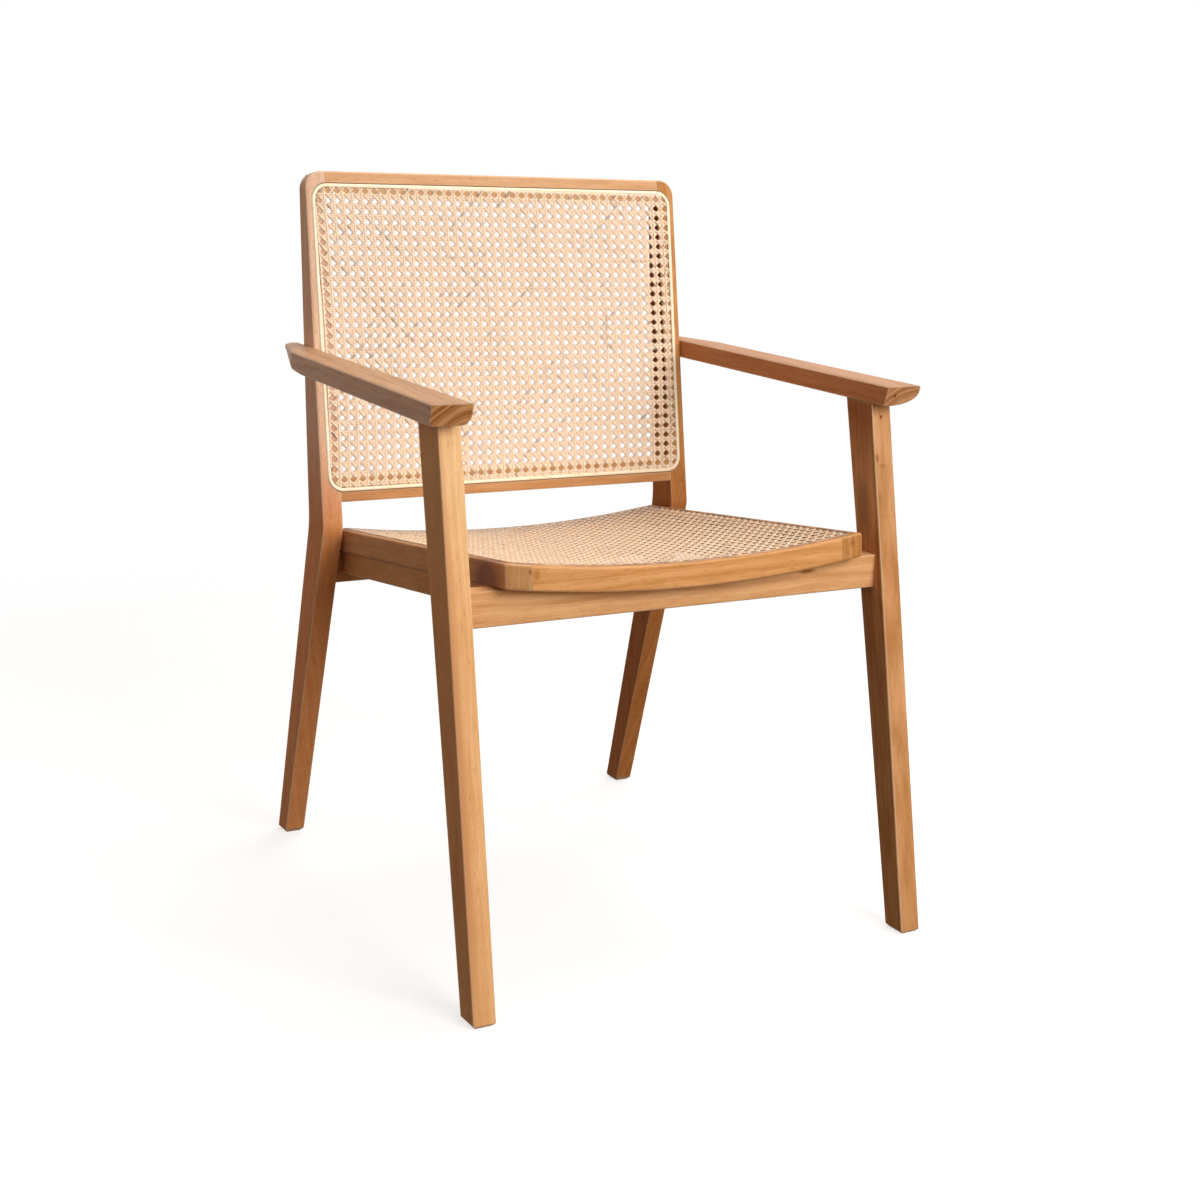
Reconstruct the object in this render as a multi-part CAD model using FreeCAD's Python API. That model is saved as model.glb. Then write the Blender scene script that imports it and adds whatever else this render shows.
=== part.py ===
import FreeCAD, Part
import math
import os

# A cane armchair in solid wood, in millimetres, +Z up. The sitter faces -Y.
# The origin is on the floor, in the middle of the chair's width and depth.
# Two posts run from the floor to the top of the back, with a knee at the seat.
# Two front legs carry the arms, four rails tie the legs, and a separate
# dished frame holds the cane of the seat.

# Whole chair
overall_depth = 630.0
splay_angle = 0.43
edge_round = 2.5
foot_chamfer = 4.0
cut_overrun = 60.0
joint_gap = 0.1

# Rear posts
post_half_span = 261.5
post_width = 25.0
post_foot_depth = 26.0
post_knee_depth = 47.0
post_top_depth = 20.0
post_knee_height = 424.5
post_knee_advance = 116.7
knee_front_round = 25.0
knee_rear_round = 90.0

# Back
back_length = 420.6
back_lean = 9.56
back_corner_round = 20.0
back_rail_thickness = 20.0
top_rail_height = 27.6
lower_rail_start = 30.5
lower_rail_height = 29.5

# Front legs
leg_half_span = 292.3
leg_width = 27.0
leg_foot_depth = 31.0
leg_top_depth = 48.5
leg_rake = 11.28

# Arms
arm_front_setback = 93.0
arm_rise = 162.4
arm_slope = 0.9
arm_thickness = 23.0
arm_width = 46.75
arm_waist_narrowing = 10.5
arm_waist_lead = 28.0
arm_tail = 50.0
arm_tail_round = 9.0
arm_tail_width = 20.0
arm_tail_thickness = 11.0
arm_tip_width = 11.0
arm_tip_thickness = 8.5
arm_nose_length = 30.0
arm_end_recede = 6.0
arm_carve_length = 100.0
arm_thinning_power = 1.5
arm_thin_edge = 3.5
left_nose_ease = 10.0
left_nose_side = 10.0
left_nose_outer_ease = 5.0
right_nose_ease = 39.0
right_nose_side = 7.0

# Rails under the seat
front_rail_setback = 95.7
rail_thickness = 22.0
front_rail_height = 38.8
rear_rail_inset = 98.0
rear_rail_height = 37.0
side_rail_half_span = 225.0
side_rail_height = 27.5

# Dished seat frame
seat_front_setback = 79.0
seat_knee_drop = 3.5
seat_slope = 6.42
seat_rear_inset = 100.0
seat_half_width = 228.5
seat_side_width = 30.0
seat_cross_width = 34.0
seat_thickness = 27.2
seat_sag = 16.3
seat_corner_round = 5.0
seat_edge_round = 3.0
seat_bed_gap = 0.2

# Cane and its spline
cane_thickness = 1.2
spline_width = 5.0
spline_proud = 1.4
groove_depth = 6.0
back_spline_inset = 9.0
back_spline_top_inset = 16.0
back_spline_low_inset = 14.2
back_spline_round = 17.0
seat_spline_inset = 9.0
seat_spline_round = 12.0
cane_columns = 12
back_cane_rows = 9
seat_cane_rows = 12
back_cane_strip = 19.0
seat_cane_strip = 21.5

# Dowels and screws
dowel_diameter = 8.0
rail_dowel_diameter = 10.0
dowel_length = 40.0
rail_dowel_length = 30.0
rail_dowel_spacing = 18.0
back_dowel_spacing = 13.0
side_dowel_spacing = 12.0
seat_dowel_spacing = 16.0
arm_dowel_spacing = 22.0
side_dowel_bite = 14.0
arm_dowel_bite = 14.0
post_dowel_bite = 18.0
hole_end_gap = 1.0
screw_diameter = 4.5
screw_head_diameter = 9.0
screw_head_height = 4.0
arm_screw_bite = 14.0
seat_screw_bite = 16.0
seat_screw_sink = 10.0

V = FreeCAD.Vector
Y_AXIS = V(0, 1, 0)
Z_AXIS = V(0, 0, 1)
X_AXIS = V(1, 0, 0)
ORIGIN = V(0, 0, 0)

# Places worked out from the sizes above
right_angle = 90.0
front_y = -overall_depth / 2
rear_y = overall_depth / 2
splay_slope = math.tan(math.radians(splay_angle))
lean_sine = math.sin(math.radians(back_lean))
lean_cosine = math.cos(math.radians(back_lean))
knee_y = rear_y - post_foot_depth - post_knee_advance
top_front_y = knee_y + back_length * lean_sine
top_front_z = post_knee_height + back_length * lean_cosine
arm_front_y = front_y + arm_front_setback
front_rail_y = front_y + front_rail_setback
rear_rail_y = rear_y - rear_rail_inset - rail_thickness
seat_front_y = front_y + seat_front_setback
seat_fall = math.tan(math.radians(seat_slope))
seat_upright_thickness = seat_thickness / math.cos(math.radians(seat_slope))
seat_length = (rear_y - seat_rear_inset - seat_front_y) / math.cos(math.radians(seat_slope))
seat_corner_height = post_knee_height - seat_knee_drop + (knee_y - seat_front_y) * seat_fall
arm_front_height = seat_corner_height + arm_rise
post_slope = lean_sine / lean_cosine
arm_post_place = knee_y + (arm_front_height - post_knee_height) * post_slope - arm_front_y
arm_waist_place = arm_post_place - arm_waist_lead
arm_length = arm_post_place + arm_tail


def seat_underside(y):
    """The height of the seat frame's lower corners."""
    return seat_corner_height - (y - seat_front_y) * seat_fall - seat_upright_thickness


front_rail_bottom = seat_underside(front_rail_y + rail_thickness) - front_rail_height
rear_rail_bottom = seat_underside(rear_rail_y + rail_thickness) - rear_rail_height
back_turn = FreeCAD.Rotation(X_AXIS, right_angle - back_lean)
back_place = FreeCAD.Placement(V(0, knee_y, post_knee_height), back_turn)
seat_place = FreeCAD.Placement(V(0, seat_front_y, seat_corner_height), FreeCAD.Rotation(X_AXIS, -seat_slope))
arm_place = FreeCAD.Placement(V(0, arm_front_y, arm_front_height), FreeCAD.Rotation(X_AXIS, arm_slope))


def inner_x(half_span, width, height):
    """Half the gap between two splayed legs at a height."""
    return half_span - width - height * splay_slope


def rounded_wire(points, radii):
    """A closed wire through points, each corner eased by its own radius."""
    edges = []
    count = len(points)
    ends = []
    for i in range(count):
        corner = points[i]
        back = (points[i - 1] - corner).normalize()
        ahead = (points[(i + 1) % count] - corner).normalize()
        turn = back.getAngle(ahead)
        reach = radii[i] / math.tan(turn / 2)
        start = corner + back * reach
        stop = corner + ahead * reach
        ends.append((start, stop))
        if radii[i] > 0:
            middle = (back + ahead).normalize()
            belly = corner + middle * (radii[i] / math.sin(turn / 2) - radii[i])
            edges.append(Part.Arc(start, belly, stop).toShape())
        else:
            edges.append(None)
    loop = []
    for i in range(count):
        if edges[i]:
            loop.append(edges[i])
        loop.append(Part.LineSegment(ends[i][1], ends[(i + 1) % count][0]).toShape())
    return Part.Wire(loop)


def prism(points, radii, direction):
    """A rounded outline pushed along a direction."""
    return Part.Face(rounded_wire(points, radii)).extrude(direction)


def box(low, high):
    """A box between two corners."""
    size = high - low
    return Part.makeBox(size.x, size.y, size.z, low)


def placed(shape, placement):
    """A copy of a shape built in a local frame, moved to its place."""
    moved = shape.copy()
    moved.Placement = placement.multiply(moved.Placement)
    return moved


def mirrored(shape):
    """The same piece on the other side of the chair."""
    return shape.mirror(ORIGIN, X_AXIS)


def rod(start, direction, length, diameter):
    """A round bar."""
    return Part.makeCylinder(diameter / 2, length, start, direction)


def drilled(shape, rods):
    """A piece with holes for dowels or screws."""
    for each in rods:
        shape = shape.cut(each)
    return shape


def rounded_edges(shape, radius, chosen):
    """A piece with the chosen edges eased."""
    edges = [edge for edge in shape.Edges if chosen(edge)]
    return shape.makeFillet(radius, edges)


def middle_of(edge):
    """The point halfway along an edge."""
    return edge.valueAt((edge.FirstParameter + edge.LastParameter) / 2)


def splayed(leg, half_span):
    """A leg tilted in towards its top and cut flat on the floor."""
    leg.rotate(V(half_span, 0, 0), Y_AXIS, -splay_angle)
    reach = overall_depth + top_front_z
    return chamfered_foot(leg.common(box(V(-reach, -reach, 0), V(reach, reach, reach))))


def chamfered_foot(leg):
    """A leg with the edges round its foot taken off."""
    foot = min(leg.Faces, key=lambda face: face.CenterOfMass.z).BoundBox

    def ring(level):
        grow = level - foot_chamfer
        corners = [V(foot.XMin - grow, foot.YMin - grow, level), V(foot.XMax + grow, foot.YMin - grow, level),
                   V(foot.XMax + grow, foot.YMax + grow, level), V(foot.XMin - grow, foot.YMax + grow, level)]
        return Part.makePolygon(corners + corners[:1])

    core = Part.makeLoft([ring(-foot_chamfer), ring(foot_chamfer * 2)], True, True)
    margin = foot_chamfer * 3
    skirt = box(V(foot.XMin - margin, foot.YMin - margin, -foot_chamfer),
                V(foot.XMax + margin, foot.YMax + margin, foot_chamfer * 2))
    return leg.cut(skirt.cut(core))


def upright(edge):
    """Whether an edge runs up a leg without crossing it."""
    run = edge.Vertexes[-1].Point - edge.Vertexes[0].Point
    return abs(run.x) < joint_gap and abs(run.z) > abs(run.y)


def rear_post():
    """The right post, from the floor to the top of the back."""
    foot_y = rear_y - post_foot_depth
    fall = cut_overrun / post_knee_height
    front_run = (foot_y - knee_y) * fall
    rear_run = (rear_y - knee_y - post_knee_depth) * fall
    profile = [
        (top_front_y, top_front_z),
        (knee_y, post_knee_height),
        (foot_y + front_run, -cut_overrun),
        (rear_y + rear_run, -cut_overrun),
        (knee_y + post_knee_depth, post_knee_height),
        (top_front_y + post_top_depth * lean_cosine, top_front_z - post_top_depth * lean_sine),
    ]
    points = [V(post_half_span - post_width, y, z) for y, z in profile]
    radii = [0, knee_front_round, 0, 0, knee_rear_round, 0]
    blank = prism(points, radii, X_AXIS * post_width).cut(top_corner_cutter())

    def eased(edge):
        if upright(edge):
            return middle_of(edge).x > post_half_span - joint_gap
        across = abs(edge.Vertexes[-1].Point.x - edge.Vertexes[0].Point.x) > joint_gap
        place = back_place.inverse().multVec(middle_of(edge))
        return across and place.y > back_length - back_corner_round

    return splayed(rounded_edges(blank, edge_round, eased), post_half_span)


def top_corner_cutter():
    """What the rounded top corner of the back takes off the right post."""
    low = V(post_half_span - back_corner_round, back_length - back_corner_round, -cut_overrun)
    high = V(post_half_span + cut_overrun, back_length + cut_overrun, cut_overrun)
    core = rod(low, Z_AXIS, cut_overrun * 2, back_corner_round * 2)
    return placed(box(low, high).cut(core), back_place)


def front_leg():
    """The right front leg, up to the underside of the arm."""
    rake = math.tan(math.radians(leg_rake))
    top_z = arm_front_height + cut_overrun
    widen = (leg_top_depth - leg_foot_depth) / arm_front_height
    profile = [
        (front_y + top_z * rake, top_z),
        (front_y - cut_overrun * rake, -cut_overrun),
        (front_y - cut_overrun * rake + leg_foot_depth - cut_overrun * widen, -cut_overrun),
        (front_y + top_z * rake + leg_foot_depth + top_z * widen, top_z),
    ]
    points = [V(leg_half_span - leg_width, y, z) for y, z in profile]
    blank = prism(points, [0, 0, 0, 0], X_AXIS * leg_width)
    leg = splayed(rounded_edges(blank, edge_round, upright), leg_half_span)
    reach = overall_depth
    below_arm = box(V(0, -reach, -reach * 2), V(reach, reach, -arm_thickness))
    return leg.common(placed(below_arm, arm_place))


def bezier(start, corner, stop):
    """A quarter of an oval between two points, bulging to a corner."""
    quarter_share = 0.5523
    curve = Part.BezierCurve()
    near = start + (corner - start) * quarter_share
    far = stop + (corner - stop) * quarter_share
    curve.setPoles([start, near, far, stop])
    return curve.toShape()


def arm_section(y, low, high, thick, inner_side, outer_side, inner_reach, outer_reach, recede):
    """One section across the right arm: flat top, straight sides, eased lower edges."""
    def at(x, depth):
        return V(x, y + recede * depth / arm_thickness, -depth)

    ease = min(edge_round, inner_side / 2, outer_side / 2)
    top_in = at(low + ease, 0)
    top_out = at(high - ease, 0)
    side_out_top = at(high, ease)
    side_out_low = at(high, outer_side)
    low_out = at(high - outer_reach, thick)
    low_in = at(low + inner_reach, thick)
    side_in_low = at(low, inner_side)
    side_in_top = at(low, ease)
    edges = [
        Part.LineSegment(top_in, top_out).toShape(),
        bezier(top_out, at(high, 0), side_out_top),
        Part.LineSegment(side_out_top, side_out_low).toShape(),
        bezier(side_out_low, at(high, thick), low_out),
        Part.LineSegment(low_out, low_in).toShape(),
        bezier(low_in, at(low, thick), side_in_low),
        Part.LineSegment(side_in_low, side_in_top).toShape(),
        bezier(side_in_top, at(low, 0), top_in),
    ]
    return Part.Wire(edges)


def armrest(nose_inner, nose_outer):
    """An arm as on the right: eased nose, plain middle, tail carved from below.

    nose_inner and nose_outer are the lower edges of the nose: the width of
    the easing, and the depth of the straight side above it.
    """
    full = arm_thickness - edge_round
    leg_inner = inner_x(leg_half_span, leg_width, arm_front_height - arm_thickness)
    post_outer = inner_x(post_half_span, 0, arm_front_height - arm_thickness) + joint_gap
    tail_start = arm_length - arm_tail_round
    carve_start = tail_start - arm_carve_length
    grip = arm_post_place - arm_nose_length

    def inner_at(y):
        share = min(1.0, max(0.0, (y - arm_nose_length) / grip))
        return leg_inner + (post_outer - leg_inner) * share

    def outer_at(y):
        nose = leg_inner + arm_width
        waist = nose - arm_waist_narrowing
        tail = post_outer + arm_tail_width
        if y < arm_waist_place:
            return nose + (waist - nose) * y / arm_waist_place
        share = (y - arm_waist_place) / (tail_start - arm_waist_place)
        return waist + (tail - waist) * share

    sections = [arm_section(0, inner_at(0), outer_at(0), arm_thickness, nose_inner[1], nose_outer[1],
                            nose_inner[0], nose_outer[0], arm_end_recede)]
    for y in (arm_nose_length, carve_start):
        sections.append(arm_section(y, inner_at(y), outer_at(y), arm_thickness, full, full,
                                    edge_round, edge_round, 0))
    carve_shares = [0.15, 0.3, 0.42, 0.52, 0.6, 0.7, 0.8, 0.9, 1.0]
    for share in carve_shares:
        y = carve_start + arm_carve_length * share
        side = full + (arm_thin_edge - full) * math.sin(share * math.pi / 2) ** 2
        width = outer_at(y) - inner_at(y)
        reach_share = 0.7
        reach = edge_round + (width * reach_share - edge_round) * share
        past_post = max(0.0, (y - arm_post_place) / (tail_start - arm_post_place))
        thinned = (arm_thickness - arm_tail_thickness) * past_post ** arm_thinning_power
        thick = arm_thickness - thinned
        sections.append(arm_section(y, inner_at(y), outer_at(y), thick, thick - edge_round, side,
                                    edge_round, reach, 0))
    tip_side = arm_tip_thickness - edge_round
    sections.append(arm_section(arm_length, post_outer, post_outer + arm_tip_width, arm_tip_thickness,
                                tip_side, arm_thin_edge, edge_round, edge_round, 0))
    return placed(Part.makeLoft(sections, True, True), arm_place)


def back_rail(start, height, rounded_top):
    """A rail between the posts, flush with the front of the back."""
    low_z = post_knee_height + start * lean_cosine
    high_z = low_z + height * lean_cosine
    low_x = inner_x(post_half_span, post_width, low_z)
    high_x = inner_x(post_half_span, post_width, high_z)
    stop = start + height
    points = [V(-low_x, start, 0), V(low_x, start, 0), V(high_x, stop, 0), V(-high_x, stop, 0)]
    rail = prism(points, [0, 0, 0, 0], Z_AXIS * -back_rail_thickness)

    def eased(edge):
        place = middle_of(edge)
        long_way = abs(place.x) < joint_gap
        if rounded_top:
            return long_way and place.y > stop - joint_gap
        return long_way

    return rounded_edges(rail, edge_round, eased)


def straight_rail(y, bottom, height, half_span, width):
    """An upright rail across the chair between two splayed legs."""
    top = bottom + height
    low_x = inner_x(half_span, width, bottom)
    high_x = inner_x(half_span, width, top)
    points = [V(-low_x, y, bottom), V(low_x, y, bottom), V(high_x, y, top), V(-high_x, y, top)]
    rail = prism(points, [0, 0, 0, 0], Y_AXIS * rail_thickness)

    def lower(edge):
        place = middle_of(edge)
        return abs(place.x) < joint_gap and place.z < bottom + joint_gap

    return rounded_edges(rail, edge_round, lower).cut(seat_bed())


def dish_layer(low, high):
    """The space between two levels above the dished top of the seat frame."""
    half = seat_half_width + cut_overrun
    radius = (seat_half_width ** 2 + seat_sag ** 2) / (2 * seat_sag)
    centre = radius - seat_sag

    def arc(level):
        reach = radius - level
        end = centre - math.sqrt(reach ** 2 - half ** 2)
        left = V(-half, -cut_overrun, end)
        right = V(half, -cut_overrun, end)
        return left, right, Part.Arc(left, V(0, -cut_overrun, centre - reach), right).toShape()

    low_left, low_right, low_arc = arc(low)
    high_left, high_right, high_arc = arc(high)
    right_side = Part.LineSegment(low_right, high_right).toShape()
    left_side = Part.LineSegment(high_left, low_left).toShape()
    wire = Part.Wire([low_arc, right_side, high_arc, left_side])
    return Part.Face(wire).extrude(Y_AXIS * (seat_length + cut_overrun * 2))


def seat_bed():
    """The space the seat frame lies in, cut out of the rails under it."""
    space = dish_layer(-seat_thickness - seat_bed_gap, 0)
    side = seat_half_width + seat_bed_gap
    width_only = box(V(-side, -cut_overrun, -cut_overrun * 2),
                     V(side, seat_length + cut_overrun, cut_overrun))
    return placed(space.common(width_only), seat_place)


def side_rail():
    """The right side rail, between the front and rear rails, under the seat frame."""
    inner = side_rail_half_span - rail_thickness
    low = -seat_thickness - side_rail_height
    plank = box(V(inner, -cut_overrun, low),
                V(side_rail_half_span, seat_length + cut_overrun, -seat_thickness))

    def lower(edge):
        place = middle_of(edge)
        along = abs(edge.Vertexes[0].Point.y - edge.Vertexes[-1].Point.y) > seat_length
        return along and place.z < low + joint_gap

    plank = placed(rounded_edges(plank, edge_round, lower), seat_place)
    reach = overall_depth
    between = box(V(0, front_rail_y + rail_thickness, 0), V(reach, rear_rail_y, reach))
    return plank.common(between).cut(seat_bed())


def plan_prism(half_width, start, stop, radii):
    """A rectangle in the plane of a panel, pushed far through it both ways."""
    points = [V(-half_width, start, -cut_overrun), V(half_width, start, -cut_overrun),
              V(half_width, stop, -cut_overrun), V(-half_width, stop, -cut_overrun)]
    return prism(points, radii, Z_AXIS * cut_overrun * 2)


def seat_member(low_x, high_x, start, stop):
    """One member of the dished seat frame, in the frame of the seat."""
    corner = [seat_corner_round] * 4
    whole = plan_prism(seat_half_width, 0, seat_length, corner)
    piece = box(V(low_x, start, -cut_overrun), V(high_x, stop, cut_overrun))
    member = whole.common(piece).common(dish_layer(-seat_thickness, 0))

    def rim(edge):
        ends = [vertex.Point for vertex in edge.Vertexes]
        level = abs(ends[-1].z - ends[0].z) < seat_thickness / 2
        core = plan_prism(seat_half_width - joint_gap, joint_gap, seat_length - joint_gap, corner)
        return level and not core.isInside(middle_of(edge), 0, True)

    return rounded_edges(member, seat_edge_round, rim)


def loop_prism(half_width, start, stop, radius, inset):
    """A rounded loop of a panel, drawn in by an inset."""
    eased = radius - inset
    return plan_prism(half_width - inset, start + inset, stop - inset, [eased] * 4)


def flat_layer(low, high):
    """The space between two levels above the front of the back."""
    half = post_half_span + cut_overrun
    return box(V(-half, -cut_overrun, low), V(half, back_length + cut_overrun, high))


def mesh_openings(half_width, start, stop, rows, strip):
    """A plain grid of openings that stands for the cane's fine mesh, between strips of cane."""
    step_x = half_width * 2 / cane_columns
    step_y = (stop - start) / rows
    size = V(step_x - strip, step_y - strip, cut_overrun * 2)
    openings = []
    for column in range(cane_columns):
        for row in range(rows):
            corner_x = step_x * column - half_width + strip / 2
            low = V(corner_x, start + step_y * row + strip / 2, -cut_overrun)
            openings.append(box(low, low + size))
    return Part.makeCompound(openings)


def cane_set(loop, layer, openings):
    """The groove, cane and spline of one panel, in the frame of that panel.

    loop(inset) is the rounded outline of the spline's outer side, drawn in,
    layer(low, high) is the space between two levels over the panel, and
    openings is the mesh of the cane.
    """
    groove_inner = spline_width + cane_thickness
    groove = loop(0).cut(loop(groove_inner)).common(layer(-groove_depth, cut_overrun / 2))
    turned_edge = loop(spline_width).cut(loop(groove_inner)).common(layer(-groove_depth + joint_gap, 0))
    sheet = loop(spline_width).common(layer(0, cane_thickness))
    cane = sheet.fuse(turned_edge).removeSplitter().cut(openings)
    ring = loop(joint_gap).cut(loop(spline_width - joint_gap))
    spline = ring.common(layer(-groove_depth + joint_gap, spline_proud))
    return groove, cane, spline


def back_loop(inset):
    """The outline of the back spline, drawn in by an inset."""
    half = post_half_span - top_front_z * splay_slope - back_spline_inset + spline_width / 2
    start = lower_rail_start + back_spline_low_inset - spline_width / 2
    stop = back_length - back_spline_top_inset + spline_width / 2
    return loop_prism(half, start, stop, back_spline_round + spline_width / 2, inset)


def seat_loop(inset):
    """The outline of the seat spline, drawn in by an inset."""
    edge = seat_spline_inset - spline_width / 2
    return loop_prism(seat_half_width - edge, edge, seat_length - edge, seat_spline_round, inset)


def pair(middle, step):
    """Two points either side of a middle point."""
    return [middle - step / 2, middle + step / 2]


def dowel_row(centres, direction, bite, length, diameter):
    """Dowels across a joint, and the holes for them a little longer and wider.

    Each centre lies on the joint face, and bite is how far the dowel goes
    against the direction.
    """
    dowels = []
    holes = []
    for centre in centres:
        dowels.append(rod(centre - direction * bite, direction, length, diameter - joint_gap * 2))
        start = centre - direction * (bite + hole_end_gap)
        holes.append(rod(start, direction, length + hole_end_gap * 2, diameter))
    return dowels, holes


def moved_all(shapes, placement):
    """Copies of several shapes, moved to their place."""
    return [placed(shape, placement) for shape in shapes]


def both_sides(shapes):
    """Shapes of the right half with their mirror images."""
    return shapes + [mirrored(shape) for shape in shapes]


def back_rail_dowels(start, height):
    """Dowels from the right post into one end of a back rail."""
    middle = start + height / 2
    face_x = inner_x(post_half_span, post_width, post_knee_height + middle * lean_cosine)
    depth = -(groove_depth + back_rail_thickness) / 2
    centres = [V(face_x, place, depth) for place in pair(middle, back_dowel_spacing)]
    return [moved_all(group, back_place)
            for group in dowel_row(centres, -X_AXIS, post_dowel_bite, dowel_length, dowel_diameter)]


def rail_dowels(y, bottom, height, half_span, width):
    """Dowels from a right leg or post into one end of an upright rail."""
    middle = bottom + height / 2
    face_x = inner_x(half_span, width, middle)
    centres = [V(face_x, y + rail_thickness / 2, place) for place in pair(middle, rail_dowel_spacing)]
    return dowel_row(centres, -X_AXIS, post_dowel_bite, rail_dowel_length, rail_dowel_diameter)


def seat_drop(x):
    """How far the top of the seat frame has sunk at a distance from the middle."""
    return seat_sag * (1 - (x / seat_half_width) ** 2)


def side_rail_dowels(face_y, direction):
    """Dowels from the front or rear rail into one end of the right side rail."""
    x = side_rail_half_span - rail_thickness / 2
    slope = math.radians(seat_slope)
    level = -seat_thickness - (seat_drop(x) + side_rail_height) / 2
    along = (face_y - seat_front_y - level * math.sin(slope)) / math.cos(slope)
    centres = [V(x, along, place) for place in pair(level, side_dowel_spacing)]
    return [moved_all(group, seat_place)
            for group in dowel_row(centres, direction, side_dowel_bite, dowel_length, dowel_diameter)]


def seat_frame_dowels(place):
    """Dowels from the right seat member into one end of the front or rear member."""
    x = seat_half_width - seat_side_width
    depth = -seat_drop(x) - (seat_thickness + groove_depth) / 2
    centres = [V(x, y, depth) for y in pair(place, seat_dowel_spacing)]
    return [moved_all(group, seat_place)
            for group in dowel_row(centres, -X_AXIS, post_dowel_bite, dowel_length, dowel_diameter)]


def arm_dowels():
    """Dowels from the right front leg up into the arm."""
    height = arm_front_height - arm_thickness
    rake = math.tan(math.radians(leg_rake))
    middle_y = front_y + height * rake + leg_top_depth / 2 - arm_front_y
    x = inner_x(leg_half_span, leg_width, height) + leg_width / 2
    centres = [V(x, y, -arm_thickness) for y in pair(middle_y, arm_dowel_spacing)]
    return [moved_all(group, arm_place)
            for group in dowel_row(centres, -Z_AXIS, arm_dowel_bite, dowel_length, dowel_diameter)]


def screw(head_point, direction, length):
    """A plain wood screw with a cylindrical head, and the hole for it."""
    head = rod(head_point, direction, screw_head_height, screw_head_diameter)
    shank = rod(head_point, direction, length, screw_diameter)
    wide = rod(head_point - direction * cut_overrun, direction, cut_overrun + screw_head_height,
               screw_head_diameter + joint_gap * 2)
    bore = rod(head_point, direction, length + hole_end_gap, screw_diameter + joint_gap * 2)
    return head.fuse(shank).removeSplitter(), wide.fuse(bore)


def arm_screws():
    """Screws through the right post into the tail of the arm, behind the groove."""
    height = arm_front_height - arm_thickness / 2
    rise_share = (height - post_knee_height) / (top_front_z - post_knee_height)
    depth = post_knee_depth + (post_top_depth - post_knee_depth) * rise_share
    behind_groove = knee_y + (top_front_y - knee_y) * rise_share + groove_depth
    head_x = inner_x(post_half_span, post_width, height) + joint_gap
    length = post_width + arm_screw_bite
    place_shares = [0.28, 0.72]
    found = []
    for share in place_shares:
        y = behind_groove + (depth - groove_depth) * share
        level = height + (y - arm_front_y) * math.tan(math.radians(arm_slope))
        found.append(screw(V(head_x, y, level), X_AXIS, length))
    return found


def seat_screws():
    """Screws up through the right side rail into the seat frame."""
    x = side_rail_half_span - rail_thickness / 2
    low = -seat_thickness - side_rail_height + seat_screw_sink
    length = side_rail_height - seat_screw_sink + seat_screw_bite
    found = []
    place_shares = [0.25, 0.75]
    for share in place_shares:
        body, hole = screw(V(x, seat_length * share, low), Z_AXIS, length)
        found.append((placed(body, seat_place), placed(hole, seat_place)))
    return found


# Panels of cane, each in the frame of its panel
back_open_half = inner_x(post_half_span, post_width, top_front_z)
back_mesh = mesh_openings(back_open_half, lower_rail_start + lower_rail_height,
                          back_length - top_rail_height, back_cane_rows, back_cane_strip)
seat_mesh = mesh_openings(seat_half_width - seat_side_width, seat_cross_width,
                          seat_length - seat_cross_width, seat_cane_rows, seat_cane_strip)
back_groove, back_cane, back_spline = cane_set(back_loop, flat_layer, back_mesh)
seat_groove, seat_cane, seat_spline = cane_set(seat_loop, dish_layer, seat_mesh)

# Dowels and screws of the right half, with their holes
top_dowels, top_holes = back_rail_dowels(back_length - top_rail_height, top_rail_height)
low_dowels, low_holes = back_rail_dowels(lower_rail_start, lower_rail_height)
front_dowels, front_holes = rail_dowels(front_rail_y, front_rail_bottom, front_rail_height,
                                        leg_half_span, leg_width)
rear_dowels, rear_holes = rail_dowels(rear_rail_y, rear_rail_bottom, rear_rail_height,
                                      post_half_span, post_width)
side_front_dowels, side_front_holes = side_rail_dowels(front_rail_y + rail_thickness, Y_AXIS)
side_rear_dowels, side_rear_holes = side_rail_dowels(rear_rail_y, -Y_AXIS)
seat_front_dowels, seat_front_holes = seat_frame_dowels(seat_cross_width / 2)
seat_rear_dowels, seat_rear_holes = seat_frame_dowels(seat_length - seat_cross_width / 2)
leg_dowels, leg_holes = arm_dowels()
arm_screw_pairs = arm_screws()
seat_screw_pairs = seat_screws()
arm_screw_holes = [hole for body, hole in arm_screw_pairs]
seat_screw_holes = [hole for body, hole in seat_screw_pairs]

# Pieces of the right half
groove_in_place = placed(back_groove, back_place)
post = drilled(rear_post().cut(groove_in_place), top_holes + low_holes + rear_holes + arm_screw_holes)
leg = drilled(front_leg(), front_holes + leg_holes)
plain_edge = (edge_round, arm_thickness - edge_round)
right_arm = armrest(plain_edge, (right_nose_ease, right_nose_side))
right_arm = drilled(right_arm, leg_holes + arm_screw_holes)
left_outer_edge = (left_nose_outer_ease, arm_thickness - left_nose_outer_ease)
left_arm = armrest((left_nose_ease, left_nose_side), left_outer_edge)
left_arm = mirrored(drilled(left_arm, leg_holes + arm_screw_holes))
side = drilled(side_rail(), side_front_holes + side_rear_holes + seat_screw_holes)
seat_side = seat_member(seat_half_width - seat_side_width, seat_half_width, 0, seat_length).cut(seat_groove)
seat_side = drilled(placed(seat_side, seat_place), seat_front_holes + seat_rear_holes + seat_screw_holes)

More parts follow.
